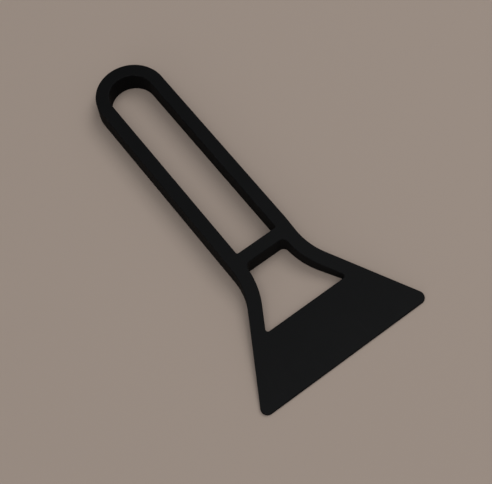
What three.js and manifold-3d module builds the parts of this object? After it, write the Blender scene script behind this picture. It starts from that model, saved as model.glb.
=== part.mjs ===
// Hand squeegee for pressing down self-adhesive film: a flat plastic moulding with a straight wiping
// edge, a wedge-shaped blade and a long open loop for a handle.
//
// Millimetres. +X runs across the blade, +Y from the wiping edge to the handle's round end, +Z up.
// The origin is on the flat underside, halfway along the length and halfway across the width.
//
// The moulding is one seamless body. Here it is divided, on flat planes and with no gap, into its
// members: the loop's end, two rails, the crossbar with its filleted corners, two arms, blade and lip.

import * as THREE from 'three';
import { mergeVertices } from 'three/addons/utils/BufferGeometryUtils.js';
import Module from 'manifold-3d';

// Driving dimensions.
const OVERALL_LENGTH = 150;
const BLADE_WIDTH = 77; // between the blade's sharp corners, before they are rounded
const BLADE_DEPTH = 24; // solid plate, from the wiping edge to the neck opening
const HANDLE_WIDTH = 28.6;
const RIM_WIDTH = 5.4; // the band that follows the outline round both openings
const CROSSBAR_WIDTH = 5;
const FLARE_ANGLE = THREE.MathUtils.degToRad(30); // between a blade side and the length
const NECK_RADIUS = 26; // hollow outer curve where the handle widens into the blade

const THICKNESS = 9.1;
const EDGE_THICKNESS = 1; // left at the wiping edge by the top face, which slopes down from the rails
const LIP_DEPTH = 4; // thinnest stretch, which bends as it wipes

const BLADE_CORNER_RADIUS = 2.5;
const SLOT_CORNER_RADIUS = 0.7; // handle slot, at the crossbar
const NECK_CORNER_RADIUS = 2.2; // neck opening, at the crossbar
const PLATE_CORNER_RADIUS = 0.9; // neck opening, at the blade plate

const ARC_STEPS = 12; // three.js puts twice as many segments on each arc
const CLEARANCE = 10; // how far the cutting solids reach past the moulding

// Places that follow from them.
const FRONT = -OVERALL_LENGTH / 2;
const BACK = OVERALL_LENGTH / 2;
const HANDLE_RADIUS = HANDLE_WIDTH / 2;
const SLOT_RADIUS = HANDLE_RADIUS - RIM_WIDTH;
const END_CENTRE_Y = BACK - HANDLE_RADIUS;
const NECK_CENTRE_X = HANDLE_RADIUS + NECK_RADIUS;
const FLARE_RUN = (BLADE_WIDTH / 2 - HANDLE_RADIUS) / Math.tan(FLARE_ANGLE);
const NECK_Y = FRONT + FLARE_RUN + NECK_RADIUS * Math.tan(FLARE_ANGLE / 2); // crossbar's front face
const PLATE_Y = FRONT + BLADE_DEPTH;

// Planes that divide the moulding, all across its length, and clear of the rounded corners.
const RAIL_Y = NECK_Y + CROSSBAR_WIDTH + SLOT_CORNER_RADIUS; // the top face's slope also begins here
const ARM_Y = NECK_Y - 2 * NECK_CORNER_RADIUS;
const BLADE_Y = PLATE_Y + 2 * PLATE_CORNER_RADIUS;
const LIP_Y = FRONT + LIP_DEPTH;

// Distance from a corner between a blade side and a cross line to where a rounding of that radius starts.
function cornerTangent(radius) {
  return radius / Math.tan((Math.PI / 2 - FLARE_ANGLE) / 2);
}

// Adds an arc on the +X side (side 1), or its mirror image, drawn backwards, on the -X side (side -1).
function addArc(path, side, x, y, radius, start, end, clockwise) {
  if (side > 0) {
    path.absarc(x, y, radius, start, end, clockwise);
  } else {
    path.absarc(-x, y, radius, Math.PI - end, Math.PI - start, clockwise);
  }
}

// Outer edge, counter-clockwise from the blade's right-hand corner.
function outerOutline() {
  const cornerX = BLADE_WIDTH / 2 - cornerTangent(BLADE_CORNER_RADIUS);
  const cornerY = FRONT + BLADE_CORNER_RADIUS;
  const outline = new THREE.Shape();
  addArc(outline, 1, cornerX, cornerY, BLADE_CORNER_RADIUS, -Math.PI / 2, FLARE_ANGLE, false);
  addArc(outline, 1, NECK_CENTRE_X, NECK_Y, NECK_RADIUS, Math.PI + FLARE_ANGLE, Math.PI, true);
  outline.absarc(0, END_CENTRE_Y, HANDLE_RADIUS, 0, Math.PI, false);
  addArc(outline, -1, NECK_CENTRE_X, NECK_Y, NECK_RADIUS, Math.PI + FLARE_ANGLE, Math.PI, true);
  addArc(outline, -1, cornerX, cornerY, BLADE_CORNER_RADIUS, -Math.PI / 2, FLARE_ANGLE, false);
  outline.closePath();
  return outline;
}

// Long slot of the handle: round at the loop's end, nearly square at the crossbar.
function handleSlot() {
  const cornerX = SLOT_RADIUS - SLOT_CORNER_RADIUS;
  const cornerY = NECK_Y + CROSSBAR_WIDTH + SLOT_CORNER_RADIUS;
  const slot = new THREE.Path();
  addArc(slot, 1, cornerX, cornerY, SLOT_CORNER_RADIUS, -Math.PI / 2, 0, false);
  slot.absarc(0, END_CENTRE_Y, SLOT_RADIUS, 0, Math.PI, false);
  addArc(slot, -1, cornerX, cornerY, SLOT_CORNER_RADIUS, -Math.PI / 2, 0, false);
  slot.closePath();
  return slot;
}

// Opening between the crossbar, the arms and the blade plate. Its sides keep RIM_WIDTH from the outer edge.
function neckOpening() {
  const sideRadius = NECK_RADIUS + RIM_WIDTH;
  const topReach = sideRadius + NECK_CORNER_RADIUS;
  const topAngle = Math.asin(NECK_CORNER_RADIUS / topReach);
  const topX = NECK_CENTRE_X - topReach * Math.cos(topAngle);
  const topY = NECK_Y - NECK_CORNER_RADIUS;
  const sideX = BLADE_WIDTH / 2 - BLADE_DEPTH * Math.tan(FLARE_ANGLE) - RIM_WIDTH / Math.cos(FLARE_ANGLE);
  const bottomX = sideX - cornerTangent(PLATE_CORNER_RADIUS);
  const bottomY = PLATE_Y + PLATE_CORNER_RADIUS;
  const opening = new THREE.Path();
  addArc(opening, 1, topX, topY, NECK_CORNER_RADIUS, Math.PI / 2, topAngle, true);
  addArc(opening, 1, NECK_CENTRE_X, NECK_Y, sideRadius, Math.PI + topAngle, Math.PI + FLARE_ANGLE, false);
  addArc(opening, 1, bottomX, bottomY, PLATE_CORNER_RADIUS, FLARE_ANGLE, -Math.PI / 2, true);
  addArc(opening, -1, bottomX, bottomY, PLATE_CORNER_RADIUS, FLARE_ANGLE, -Math.PI / 2, true);
  addArc(opening, -1, NECK_CENTRE_X, NECK_Y, sideRadius, Math.PI + topAngle, Math.PI + FLARE_ANGLE, false);
  addArc(opening, -1, topX, topY, NECK_CORNER_RADIUS, Math.PI / 2, topAngle, true);
  opening.closePath();
  return opening;
}

const wasm = await Module();
wasm.setup();

function toSolid(geometry) {
  geometry.deleteAttribute('normal');
  geometry.deleteAttribute('uv');
  const merged = mergeVertices(geometry);
  return new wasm.Manifold(new wasm.Mesh({
    numProp: 3,
    vertProperties: new Float32Array(merged.attributes.position.array),
    triVerts: new Uint32Array(merged.index.array),
  }));
}

function toGeometry(solid) {
  const { vertProperties, triVerts } = solid.getMesh();
  const geometry = new THREE.BufferGeometry();
  geometry.setAttribute('position', new THREE.BufferAttribute(vertProperties, 3));
  geometry.setIndex(new THREE.BufferAttribute(triVerts, 1));
  const faceted = geometry.toNonIndexed();
  faceted.computeVertexNormals();
  return faceted;
}

// The flat plate with both openings, at full thickness.
function plateSolid() {
  const outline = outerOutline();
  outline.holes.push(handleSlot(), neckOpening());
  return toSolid(new THREE.ExtrudeGeometry(outline, {
    depth: THICKNESS,
    bevelEnabled: false,
    curveSegments: ARC_STEPS,
  }));
}

// What is cut off the top to leave the wedge, drawn as seen from the side and extruded across the blade.
function wedgeCutter() {
  const slope = (THICKNESS - EDGE_THICKNESS) / (RAIL_Y - FRONT);
  const section = new THREE.Shape([
    new THREE.Vector2(FRONT - CLEARANCE, EDGE_THICKNESS - slope * CLEARANCE),
    new THREE.Vector2(RAIL_Y + CLEARANCE, THICKNESS + slope * CLEARANCE),
    new THREE.Vector2(FRONT - CLEARANCE, THICKNESS + slope * CLEARANCE),
  ]);
  const geometry = new THREE.ExtrudeGeometry(section, {
    depth: BLADE_WIDTH + 2 * CLEARANCE,
    bevelEnabled: false,
  });
  geometry.applyMatrix4(new THREE.Matrix4().makeBasis(
    new THREE.Vector3(0, 1, 0),
    new THREE.Vector3(0, 0, 1),
    new THREE.Vector3(1, 0, 0),
  ));
  geometry.translate(-BLADE_WIDTH / 2 - CLEARANCE, 0, 0);
  return toSolid(geometry);
}

// Block that cuts one member out of the moulding: full height, between two X and two Y planes.
function memberBlock([lowX, highX], [lowY, highY]) {
  const block = new THREE.BoxGeometry(highX - lowX, highY - lowY, THICKNESS + 2 * CLEARANCE);
  block.translate((lowX + highX) / 2, (lowY + highY) / 2, THICKNESS / 2);
  return toSolid(block);
}

function blackPlastic() {
  return new THREE.MeshStandardMaterial({ color: 0x161618, roughness: 0.6, metalness: 0 });
}

// Each member's name, with its span in X and in Y. The outermost planes lie clear of the moulding.
const SIDE = BLADE_WIDTH / 2 + CLEARANCE;
const MEMBERS = [
  ['handle_end', [-SIDE, SIDE], [END_CENTRE_Y, BACK + CLEARANCE]],
  ['left_rail', [-SIDE, 0], [RAIL_Y, END_CENTRE_Y]],
  ['right_rail', [0, SIDE], [RAIL_Y, END_CENTRE_Y]],
  ['crossbar', [-SIDE, SIDE], [ARM_Y, RAIL_Y]],
  ['left_arm', [-SIDE, 0], [BLADE_Y, ARM_Y]],
  ['right_arm', [0, SIDE], [BLADE_Y, ARM_Y]],
  ['blade_plate', [-SIDE, SIDE], [LIP_Y, BLADE_Y]],
  ['wiping_lip', [-SIDE, SIDE], [FRONT - CLEARANCE, LIP_Y]],
];

function squeegee() {
  const moulding = plateSolid().subtract(wedgeCutter());
  const group = new THREE.Group();
  for (const [name, spanX, spanY] of MEMBERS) {
    const member = moulding.intersect(memberBlock(spanX, spanY));
    const mesh = new THREE.Mesh(toGeometry(member), blackPlastic());
    mesh.name = name;
    group.add(mesh);
  }
  return group;
}

export default squeegee();
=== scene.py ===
"""Hand squeegee: one seamless black plastic moulding on a pale floor under soft studio light.

The moulding is built member by member, as the CAD model divides it. Each member is a closed mesh whose
top and bottom edges are rounded, and neighbours share their points and normals, so no joint shows.

Lengths are in metres. +X runs across the blade, +Y from the wiping edge to the handle's round end, +Z up.
"""

import math
from collections import namedtuple

import bmesh
import bpy
from mathutils import Matrix, Vector


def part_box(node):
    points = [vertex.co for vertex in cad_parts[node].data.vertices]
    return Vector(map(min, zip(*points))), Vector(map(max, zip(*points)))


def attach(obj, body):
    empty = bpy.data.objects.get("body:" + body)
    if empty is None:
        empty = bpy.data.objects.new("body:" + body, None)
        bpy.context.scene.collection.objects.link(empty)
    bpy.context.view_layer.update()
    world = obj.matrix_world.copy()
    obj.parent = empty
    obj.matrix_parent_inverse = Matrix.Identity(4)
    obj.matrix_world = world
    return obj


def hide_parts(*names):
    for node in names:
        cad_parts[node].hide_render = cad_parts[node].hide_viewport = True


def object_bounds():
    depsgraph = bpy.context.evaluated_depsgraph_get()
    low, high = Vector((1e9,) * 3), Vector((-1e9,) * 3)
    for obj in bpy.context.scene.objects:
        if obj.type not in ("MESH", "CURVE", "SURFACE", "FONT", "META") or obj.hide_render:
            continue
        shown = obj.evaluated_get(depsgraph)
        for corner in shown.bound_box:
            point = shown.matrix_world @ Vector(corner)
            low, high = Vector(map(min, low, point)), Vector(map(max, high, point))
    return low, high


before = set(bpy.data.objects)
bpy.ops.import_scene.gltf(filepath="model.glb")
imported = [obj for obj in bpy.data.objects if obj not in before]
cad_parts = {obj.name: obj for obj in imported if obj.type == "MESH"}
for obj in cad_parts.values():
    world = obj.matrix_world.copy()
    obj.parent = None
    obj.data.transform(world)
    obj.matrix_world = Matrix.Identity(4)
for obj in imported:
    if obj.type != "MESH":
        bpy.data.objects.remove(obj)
cad_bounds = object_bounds()

# Design sizes, the same as in the CAD model.
BLADE_WIDTH = 0.077  # between the blade's sharp corners, before they are rounded
BLADE_DEPTH = 0.024
CROSSBAR_WIDTH = 0.005
FLARE_ANGLE = math.radians(30)
NECK_RADIUS = 0.026
EDGE_THICKNESS = 0.001
BLADE_CORNER_RADIUS = 0.0025
SLOT_CORNER_RADIUS = 0.0007
NECK_CORNER_RADIUS = 0.0022
PLATE_CORNER_RADIUS = 0.0009

# Rounding of the long edges. Where the blade thins out, each is a share of its thickness at most.
TOP_ROUNDING = 0.00045
TOP_ROUNDING_SHARE = 0.45
UNDER_ROUNDING = 0.00025
UNDER_ROUNDING_SHARE = 0.3
ROUNDING_STEPS = 5

# Longest steps round the outline's arcs.
ARC_TURN = math.radians(4)
ARC_LENGTH = 0.0006

# Places taken from the frame.
LOWEST, HIGHEST = (Vector(corner) for corner in cad_bounds)
FRONT = LOWEST.y
THICKNESS = HIGHEST.z
SLOT_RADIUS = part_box("right_rail")[0].x
HANDLE_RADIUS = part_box("right_rail")[1].x
RAIL_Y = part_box("right_rail")[0].y
END_CENTRE_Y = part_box("handle_end")[0].y
ARM_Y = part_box("crossbar")[0].y
BLADE_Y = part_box("blade_plate")[1].y
LIP_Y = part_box("blade_plate")[0].y

# Places that follow from both.
RIM_WIDTH = HANDLE_RADIUS - SLOT_RADIUS
PLATE_Y = FRONT + BLADE_DEPTH
NECK_Y = RAIL_Y - SLOT_CORNER_RADIUS - CROSSBAR_WIDTH
NECK_CENTRE = Vector((HANDLE_RADIUS + NECK_RADIUS, NECK_Y))
END_CENTRE = Vector((0, END_CENTRE_Y))
SLOPE = (THICKNESS - EDGE_THICKNESS) / (RAIL_Y - FRONT)

WEAR = "edge_wear"  # attribute: 1 along the middle of the top's rounded edges, 0 off them
ON_CUT = 1  # marks the faces on dividing planes while a member is built
SAME_NORMAL = 0.001  # normals that differ by less are the same


# ---------------------------------------------------------------- outline

# A point of the outline: where it is, which way its wall faces, and how far and which way its
# rounded edges step inwards for each metre of inset.
Station = namedtuple("Station", "at wall inward")


def station(at, wall):
    return Station(at, wall, -wall)


def on_cut(s):
    """The same station where a member ends: its edges step inwards within the dividing plane."""
    return Station(s.at, s.wall, Vector((-1 / s.wall.x, 0)))


def arc(centre, radius, start, end, convex):
    """Stations round an arc. The material is inside a convex arc and outside a hollow one."""
    sweep = abs(end - start)
    steps = math.ceil(max(sweep / ARC_TURN, sweep * radius / ARC_LENGTH))
    stations = []
    for step in range(steps + 1):
        angle = start + (end - start) * step / steps
        ray = Vector((math.cos(angle), math.sin(angle)))
        stations.append(station(centre + ray * radius, ray if convex else -ray))
    return stations


def with_cut_ends(run, first=True, last=True):
    """A run of stations whose first and last ones lie on dividing planes."""
    middle = run[1 if first else 0:-1 if last else None]
    return ([on_cut(run[0])] if first else []) + middle + ([on_cut(run[-1])] if last else [])


def mirrored(run):
    """A run's mirror image across the blade, in the order that keeps the material on its left."""
    flip = Vector((-1, 1))
    return [Station(s.at * flip, s.wall * flip, s.inward * flip) for s in reversed(run)]


def flare_station(y, inset):
    """The station at height y on the straight flared side, or on the opening's side, inset from it."""
    side = BLADE_WIDTH / 2 - (y - FRONT) * math.tan(FLARE_ANGLE) - inset / math.cos(FLARE_ANGLE)
    wall = Vector((math.cos(FLARE_ANGLE), math.sin(FLARE_ANGLE)))
    return station(Vector((side, y)), -wall if inset else wall)


def corner_tangent(radius):
    """Distance from a corner between a flared side and a cross line to where its rounding starts."""
    return radius / math.tan((math.pi / 2 - FLARE_ANGLE) / 2)


def blade_corner():
    x = BLADE_WIDTH / 2 - corner_tangent(BLADE_CORNER_RADIUS)
    centre = Vector((x, FRONT + BLADE_CORNER_RADIUS))
    return arc(centre, BLADE_CORNER_RADIUS, -math.pi / 2, FLARE_ANGLE, True)


def plate_corner():
    """The neck opening's corner at the blade plate, down its side and round to its straight edge."""
    x = flare_station(PLATE_Y, RIM_WIDTH).at.x - corner_tangent(PLATE_CORNER_RADIUS)
    centre = Vector((x, PLATE_Y + PLATE_CORNER_RADIUS))
    return arc(centre, PLATE_CORNER_RADIUS, FLARE_ANGLE, -math.pi / 2, False)


def slot_corner():
    centre = Vector((SLOT_RADIUS - SLOT_CORNER_RADIUS, RAIL_Y))
    return arc(centre, SLOT_CORNER_RADIUS, 0, -math.pi / 2, False)


def neck_arc(radius, start_y, end_y):
    """Stretch of an arc round the neck's centre, between two heights below it.

    The outer edge, at NECK_RADIUS, is hollow. The opening's side, further out, is convex.
    """
    start = math.pi + math.asin((NECK_Y - start_y) / radius)
    end = math.pi + math.asin((NECK_Y - end_y) / radius)
    return arc(NECK_CENTRE, radius, start, end, radius > NECK_RADIUS)


def neck_corner():
    """The neck opening's corner at the crossbar, and its side on to where the crossbar member ends."""
    radius = NECK_CORNER_RADIUS
    reach = NECK_RADIUS + RIM_WIDTH + radius
    side_angle = math.asin(radius / reach)
    centre = Vector((NECK_CENTRE.x - reach * math.cos(side_angle), NECK_Y - radius))
    corner = arc(centre, radius, math.pi / 2, side_angle, False)
    side = neck_arc(NECK_RADIUS + RIM_WIDTH, centre.y + radius * math.sin(side_angle), ARM_Y)
    return corner + side[1:]


def handle_end_runs():
    outer = with_cut_ends(arc(END_CENTRE, HANDLE_RADIUS, 0, math.pi, True))
    inner = with_cut_ends(arc(END_CENTRE, SLOT_RADIUS, math.pi, 0, False))
    return [outer, inner]


def right_rail_runs():
    outer_wall = Vector((1, 0))
    outer = [station(Vector((HANDLE_RADIUS, y)), outer_wall) for y in (RAIL_Y, END_CENTRE_Y)]
    inner = [station(Vector((SLOT_RADIUS, y)), -outer_wall) for y in (END_CENTRE_Y, RAIL_Y)]
    return [with_cut_ends(outer), with_cut_ends(inner)]


def right_arm_runs():
    arc_end = NECK_Y - NECK_RADIUS * math.sin(FLARE_ANGLE)
    side_radius = NECK_RADIUS + RIM_WIDTH
    side_arc_end = NECK_Y - side_radius * math.sin(FLARE_ANGLE)
    outer = [flare_station(BLADE_Y, 0)] + neck_arc(NECK_RADIUS, arc_end, ARM_Y)
    inner = neck_arc(side_radius, ARM_Y, side_arc_end) + [flare_station(BLADE_Y, RIM_WIDTH)]
    return [with_cut_ends(outer), with_cut_ends(inner)]


def crossbar_runs():
    rail_side = station(Vector((HANDLE_RADIUS, RAIL_Y)), Vector((1, 0)))
    outer = with_cut_ends(neck_arc(NECK_RADIUS, ARM_Y, NECK_Y) + [rail_side])
    slot_side = with_cut_ends(slot_corner(), last=False)
    opening_side = with_cut_ends(neck_corner(), first=False)
    slot_end = slot_side + mirrored(slot_side)
    opening_end = mirrored(opening_side) + opening_side
    return [outer, slot_end, mirrored(outer), opening_end]


def blade_plate_runs():
    outer = with_cut_ends([flare_station(LIP_Y, 0), flare_station(BLADE_Y, 0)])
    side = with_cut_ends([flare_station(BLADE_Y, RIM_WIDTH)] + plate_corner(), last=False)
    return [outer, side + mirrored(side), mirrored(outer)]


def wiping_lip_runs():
    corner = with_cut_ends(blade_corner() + [flare_station(LIP_Y, 0)], first=False)
    return [mirrored(corner) + corner]


# ---------------------------------------------------------------- meshes

# A point of the skin, with its normal as a share along the wall and a share along the flat face.
SkinPoint = namedtuple("SkinPoint", "position wall_share face_share wear")


def top_height(y):
    return min(THICKNESS, EDGE_THICKNESS + SLOPE * (y - FRONT))


def top_direction(y):
    """Unscaled normal of the top face: level on the handle, sloped from the crossbar to the wiping edge."""
    return Vector((0, -SLOPE if y < RAIL_Y else 0, 1))


def column(s):
    """Skin points up the wall at a station, from the underside's flat to the top face's flat."""
    thickness = top_height(s.at.y)
    under = min(UNDER_ROUNDING, thickness * UNDER_ROUNDING_SHARE)
    over = min(TOP_ROUNDING, thickness * TOP_ROUNDING_SHARE)
    points = []
    for step in range(ROUNDING_STEPS, -1, -1):
        angle = math.pi / 2 * step / ROUNDING_STEPS
        at = s.at + s.inward * under * (1 - math.cos(angle))
        z = under * (1 - math.sin(angle))
        points.append(SkinPoint(at.to_3d() + Vector((0, 0, z)), math.cos(angle), -math.sin(angle), 0))
    for step in range(ROUNDING_STEPS + 1):
        angle = math.pi / 2 * step / ROUNDING_STEPS
        at = s.at + s.inward * over * (1 - math.cos(angle))
        z = top_height(at.y) - over * (1 - math.sin(angle))
        wear = math.sin(2 * angle)
        points.append(SkinPoint(at.to_3d() + Vector((0, 0, z)), math.cos(angle), math.sin(angle), wear))
    return points


class Member:
    """A closed mesh over the ground plan that a member's runs of stations enclose."""

    def __init__(self, runs):
        self.mesh = bmesh.new()
        self.wall = self.mesh.verts.layers.float_vector.new("wall")
        self.face_share = self.mesh.verts.layers.float.new("face_share")
        self.wear = self.mesh.verts.layers.float.new(WEAR)
        self.columns = [[self.add_column(s) for s in run] for run in runs]
        self.add_walls()
        self.add_cuts()
        self.add_caps()

    def add_column(self, s):
        verts = []
        for point in column(s):
            vert = self.mesh.verts.new(point.position)
            vert[self.wall] = s.wall.to_3d() * point.wall_share
            vert[self.face_share] = point.face_share
            vert[self.wear] = point.wear
            verts.append(vert)
        return verts

    def add_walls(self):
        for run in self.columns:
            for left, right in zip(run, run[1:]):
                for level in range(len(left) - 1):
                    quad = (left[level], right[level], right[level + 1], left[level + 1])
                    self.mesh.faces.new(quad)

    def add_cuts(self):
        """Closes the member on dividing planes, from the end of each run to the start of the next."""
        for run, following in zip(self.columns, self.columns[1:] + self.columns[:1]):
            self.mesh.faces.new(following[0] + run[-1][::-1]).material_index = ON_CUT

    def add_caps(self):
        """Underside and top face."""
        self.mesh.faces.new([verts[0] for run in self.columns for verts in run][::-1])
        self.mesh.faces.new([verts[-1] for run in self.columns for verts in run])

    def finish(self, name):
        """The member as an object, with the normals of the seamless moulding on its skin."""
        self.mesh.normal_update()
        normals = [self.normal_at(loop.vert, face) for face in self.mesh.faces for loop in face.loops]
        for edge in self.mesh.edges:
            edge.smooth = not self.is_crease(edge)
        for face in self.mesh.faces:
            face.smooth = True
            face.material_index = 0
        data = bpy.data.meshes.new(name)
        self.mesh.to_mesh(data)
        self.mesh.free()
        data.normals_split_custom_set(normals)
        piece = bpy.data.objects.new(name, data)
        bpy.context.scene.collection.objects.link(piece)
        return piece

    def normal_at(self, vert, face):
        """The moulding's own normal at a point of one of its faces."""
        if face.material_index == ON_CUT:
            return face.normal.copy()
        share = vert[self.face_share]
        flat = top_direction(face.calc_center_median().y) if share > 0 else Vector((0, 0, 1))
        return (vert[self.wall] + flat * share).normalized()

    def is_crease(self, edge):
        """Whether the faces on the edge's two sides have different normals at either of its ends."""
        for vert in edge.verts:
            one, other = (self.normal_at(vert, face) for face in edge.link_faces)
            if (one - other).length > SAME_NORMAL:
                return True
        return False


def build_members():
    """Every member in place of its CAD node. The left ones mirror the right ones."""
    plans = {
        "handle_end": handle_end_runs(),
        "right_rail": right_rail_runs(),
        "left_rail": [mirrored(run) for run in reversed(right_rail_runs())],
        "crossbar": crossbar_runs(),
        "right_arm": right_arm_runs(),
        "left_arm": [mirrored(run) for run in reversed(right_arm_runs())],
        "blade_plate": blade_plate_runs(),
        "wiping_lip": wiping_lip_runs(),
    }
    plastic = black_plastic()
    for node, runs in plans.items():
        piece = Member(runs).finish(node + "_skin")
        piece.data.materials.append(plastic)
        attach(piece, "root")
        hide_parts(node)


# ---------------------------------------------------------------- materials

def new_material(name):
    material = bpy.data.materials.new(name)
    material.use_nodes = True
    return material, material.node_tree.nodes["Principled BSDF"]


class Shading:
    """Short ways to add and link the nodes of one material."""

    def __init__(self, tree):
        self.tree = tree
        coordinates = self.node("ShaderNodeTexCoord").outputs
        self.place = coordinates["Object"]
        self.facing = coordinates["Normal"]

    def feed(self, socket, value):
        """Links a socket to another node's output, or sets it to a plain value."""
        if isinstance(value, bpy.types.NodeSocket):
            self.tree.links.new(value, socket)
        else:
            socket.default_value = value

    def node(self, kind, inputs=None, **settings):
        """A node with its inputs fed by name, and its own properties set by keyword."""
        node = self.tree.nodes.new(kind)
        for key, value in settings.items():
            setattr(node, key, value)
        for name, value in (inputs or {}).items():
            self.feed(node.inputs[name], value)
        return node

    def part_of(self, vector, axis):
        return self.node("ShaderNodeSeparateXYZ", {"Vector": vector}).outputs[axis]

    def stretched(self, scale):
        """The object's coordinates, in metres, times a scale of their own for each axis."""
        mapping = self.node("ShaderNodeMapping", {"Vector": self.place, "Scale": scale})
        return mapping.outputs["Vector"]

    def noise(self, scale, detail, vector=None):
        inputs = {"Vector": vector or self.place, "Scale": scale, "Detail": detail}
        return self.node("ShaderNodeTexNoise", inputs).outputs["Fac"]

    def remap(self, value, low, high, to_low=0.0, to_high=1.0):
        inputs = {"Value": value, "From Min": low, "From Max": high, "To Min": to_low, "To Max": to_high}
        return self.node("ShaderNodeMapRange", inputs).outputs["Result"]

    def combine(self, operation, first, second):
        node = self.node("ShaderNodeMath", operation=operation)
        self.feed(node.inputs[0], first)
        self.feed(node.inputs[1], second)
        return node.outputs["Value"]

    def bumped(self, height, depth, normal=None):
        """Normal of a surface raised by a pattern of the given depth, on top of another such normal."""
        inputs = {"Height": height, "Distance": depth, "Strength": 1.0}
        if normal:
            inputs["Normal"] = normal
        return self.node("ShaderNodeBump", inputs).outputs["Normal"]

    def blend(self, share, first, second):
        node = self.node("ShaderNodeMixRGB", {"Fac": share, "Color1": first, "Color2": second})
        return node.outputs["Color"]


# The plastic's base colour, in linear light.
PLASTIC = (0.0055, 0.0057, 0.006, 1)
FADED_AND_LIT_PLASTIC = (0.0118, 0.012, 0.0123, 1)  # paler: at random in faint clouds, and as painted light more and more towards the wiping edge
RUBBED_PLASTIC = (0.03, 0.03, 0.031, 1)  # where an edge or a scuff has gone pale
# Share of the paler colour at the wiping edge: painted light that falls off towards the handle's end.
PAINTED_LIGHT_AT_FRONT = 0.7
FADED_IN_CLOUDS = 0.3
PALE_IN_SCUFFS = 0.35
PALE_ON_EDGES = 0.4

PLASTIC_ROUGHNESS = 0.66
POLISHED_ROUGHNESS = 0.5  # on the rounded edges, and less so near the wiping edge
CLOUD_ROUGHNESS = 0.04  # how far the clouds move the roughness either way
POLISH_AT_FRONT = 0.6
POLISH_IN_PATCHES = (0.3, 1)  # least and most of the polish, from patch to patch
FACE_GLOSS = 0.07  # specular level of the flat faces
WALL_GLOSS = 0.03  # the walls came out of the mould duller

# Patterns, in cells per metre, each with the range of its noise that runs from none to full effect.
CLOUDS, CLOUD_RANGE = 55, (0.35, 0.65)
SCUFFS, SCUFF_RANGE = (5200, 160, 160), (0.66, 0.74)  # hair-thin across the blade, long the way it wipes
SCUFF_PATCHES, SCUFF_PATCH_RANGE = 130, (0.5, 0.62)
RUB_PATCHES, RUB_RANGE = 700, (0.45, 0.7)
POLISH_PATCHES, POLISH_RANGE = 240, (0.3, 0.7)
FACE_RANGE = (0.2, 0.95)  # upward share of the normal, from a wall to a flat face
GRAIN, GRAIN_DEPTH = 2600, 0.000012
RIPPLE, RIPPLE_DEPTH = 420, 0.00003  # unevenness that shows only as a broken sheen
COARSE, MEDIUM, FINE = 1.0, 2.0, 3.0  # detail of the noises


def plastic_colour(shade, clouds, near_edge, edges):
    """Black that fades in clouds, with painted light making it paler towards the wiping edge, and with pale
    scuffs and rubbed edges.
    """
    streaks = shade.remap(shade.noise(1.0, COARSE, shade.stretched(SCUFFS)), *SCUFF_RANGE)
    patches = shade.remap(shade.noise(SCUFF_PATCHES, MEDIUM), *SCUFF_PATCH_RANGE)
    scuffs = shade.combine("MULTIPLY", shade.combine("MULTIPLY", streaks, patches), near_edge)
    rubbed = shade.combine("MULTIPLY", edges, shade.remap(shade.noise(RUB_PATCHES, FINE), *RUB_RANGE))
    pale = shade.combine(
        "MAXIMUM",
        shade.combine("MULTIPLY", scuffs, PALE_IN_SCUFFS),
        shade.combine("MULTIPLY", rubbed, PALE_ON_EDGES),
    )
    # Painted light: the plastic gets paler from the handle's end to the wiping edge.
    painted_light_to_front = shade.remap(shade.part_of(shade.place, "Y"), END_CENTRE_Y, FRONT, 0, PAINTED_LIGHT_AT_FRONT)
    faded_and_lit = shade.combine("ADD", painted_light_to_front, shade.remap(clouds, 0, 1, 0, FADED_IN_CLOUDS))
    return shade.blend(pale, shade.blend(faded_and_lit, PLASTIC, FADED_AND_LIT_PLASTIC), RUBBED_PLASTIC)


def plastic_roughness(shade, clouds, near_edge, edges):
    """Matte, unevenly polished on the rounded edges and near the wiping edge."""
    polish = shade.combine("MAXIMUM", shade.combine("MULTIPLY", near_edge, POLISH_AT_FRONT), edges)
    patches = shade.remap(shade.noise(POLISH_PATCHES, FINE), *POLISH_RANGE, *POLISH_IN_PATCHES)
    sheen = shade.combine("MULTIPLY", polish, patches)
    roughness = shade.remap(sheen, 0, 1, PLASTIC_ROUGHNESS, POLISHED_ROUGHNESS)
    return shade.combine("ADD", roughness, shade.remap(clouds, 0, 1, -CLOUD_ROUGHNESS, CLOUD_ROUGHNESS))


def black_plastic():
    """Matte moulded plastic with a fine grain, faintly clouded, scuffed and rubbed, and with painted light
    making it paler towards the wiping edge.
    """
    material, shader = new_material("black_plastic")
    shade = Shading(material.node_tree)
    clouds = shade.remap(shade.noise(CLOUDS, FINE), *CLOUD_RANGE)
    near_edge = shade.remap(shade.part_of(shade.place, "Y"), PLATE_Y, FRONT)
    edges = shade.node("ShaderNodeAttribute", attribute_name=WEAR).outputs["Fac"]
    facing_up = shade.remap(shade.part_of(shade.facing, "Z"), *FACE_RANGE)
    rippled = shade.bumped(shade.noise(RIPPLE, MEDIUM), RIPPLE_DEPTH)
    shade.feed(shader.inputs["Base Color"], plastic_colour(shade, clouds, near_edge, edges))
    shade.feed(shader.inputs["Roughness"], plastic_roughness(shade, clouds, near_edge, edges))
    shade.feed(shader.inputs["Specular IOR Level"], shade.remap(facing_up, 0, 1, WALL_GLOSS, FACE_GLOSS))
    shade.feed(shader.inputs["Normal"], shade.bumped(shade.noise(GRAIN, MEDIUM), GRAIN_DEPTH, rippled))
    return material


FLOOR_COLOUR = (0.6, 0.49, 0.415, 1)
FLOOR_ROUGHNESS = 0.9
FLOOR_GLOSS = 0.1


def floor_material():
    material, shader = new_material("floor_paint")
    shader.inputs["Base Color"].default_value = FLOOR_COLOUR
    shader.inputs["Roughness"].default_value = FLOOR_ROUGHNESS
    shader.inputs["Specular IOR Level"].default_value = FLOOR_GLOSS
    return material


# ---------------------------------------------------------------- stage

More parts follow.
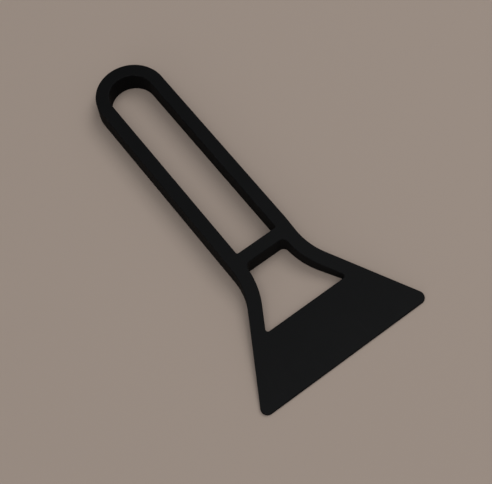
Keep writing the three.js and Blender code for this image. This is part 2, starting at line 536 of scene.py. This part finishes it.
CAMERA_TARGET = Vector((-0.0011, -0.0154, 0))
CAMERA_DISTANCE = 0.4495
CAMERA_HEADING = math.radians(30.13)  # from +Y towards +X
CAMERA_ELEVATION = math.radians(63)
CAMERA_ROLL = math.radians(7.3)
CAMERA_LENS = 87.8  # millimetres, on a sensor 36 mm wide
SENSOR_WIDTH = 36
NEAREST_SEEN = 0.01

FLOOR_SIZE = 4.0
FLOOR_GAP = 0.00003  # keeps the floor and the underside apart

SKY_COLOUR = (0.95, 0.97, 1.0, 1)
SKY_STRENGTH = 0.16

# Square softboxes, all aimed at the origin: place, side and watts.
SOFTBOXES = {
    "key": ((0.75, 0.2, 1.2), 0.8, 4.2),
    "ceiling": ((-0.25, -0.35, 1.45), 1.4, 6),
    "fill": ((-0.9, -0.5, 0.35), 0.5, 0.5),
}


def add_camera():
    level = math.cos(CAMERA_ELEVATION)
    forward = Vector((
        math.sin(CAMERA_HEADING) * level,
        math.cos(CAMERA_HEADING) * level,
        -math.sin(CAMERA_ELEVATION),
    ))
    right = Vector((math.cos(CAMERA_HEADING), -math.sin(CAMERA_HEADING), 0))
    right.rotate(Matrix.Rotation(CAMERA_ROLL, 3, forward))
    up = right.cross(forward)
    data = bpy.data.cameras.new("camera")
    data.lens = CAMERA_LENS
    data.sensor_width = SENSOR_WIDTH
    data.sensor_fit = "HORIZONTAL"
    data.clip_start = NEAREST_SEEN
    camera = bpy.data.objects.new("camera", data)
    turn = Matrix((right, up, -forward)).transposed().to_4x4()
    camera.matrix_world = Matrix.Translation(CAMERA_TARGET - forward * CAMERA_DISTANCE) @ turn
    bpy.context.scene.collection.objects.link(camera)
    bpy.context.scene.camera = camera


def add_softbox(name, place, side, watts):
    data = bpy.data.lights.new(name, "AREA")
    data.shape = "SQUARE"
    data.size = side
    data.energy = watts
    light = bpy.data.objects.new(name, data)
    light.location = place
    light.rotation_euler = (-Vector(place)).to_track_quat("-Z", "Y").to_euler()
    bpy.context.scene.collection.objects.link(light)


def add_floor():
    mesh = bmesh.new()
    bmesh.ops.create_grid(mesh, x_segments=1, y_segments=1, size=FLOOR_SIZE / 2)
    data = bpy.data.meshes.new("floor")
    mesh.to_mesh(data)
    mesh.free()
    floor = bpy.data.objects.new("floor", data)
    floor.location.z = -FLOOR_GAP
    floor.data.materials.append(floor_material())
    bpy.context.scene.collection.objects.link(floor)


def add_world():
    world = bpy.data.worlds.new("studio")
    world.use_nodes = True
    background = world.node_tree.nodes["Background"]
    background.inputs["Color"].default_value = SKY_COLOUR
    background.inputs["Strength"].default_value = SKY_STRENGTH
    bpy.context.scene.world = world


add_camera()
add_floor()
add_world()
for name, (place, side, watts) in SOFTBOXES.items():
    add_softbox(name, place, side, watts)
bpy.context.scene.view_settings.view_transform = "Standard"

build_members()
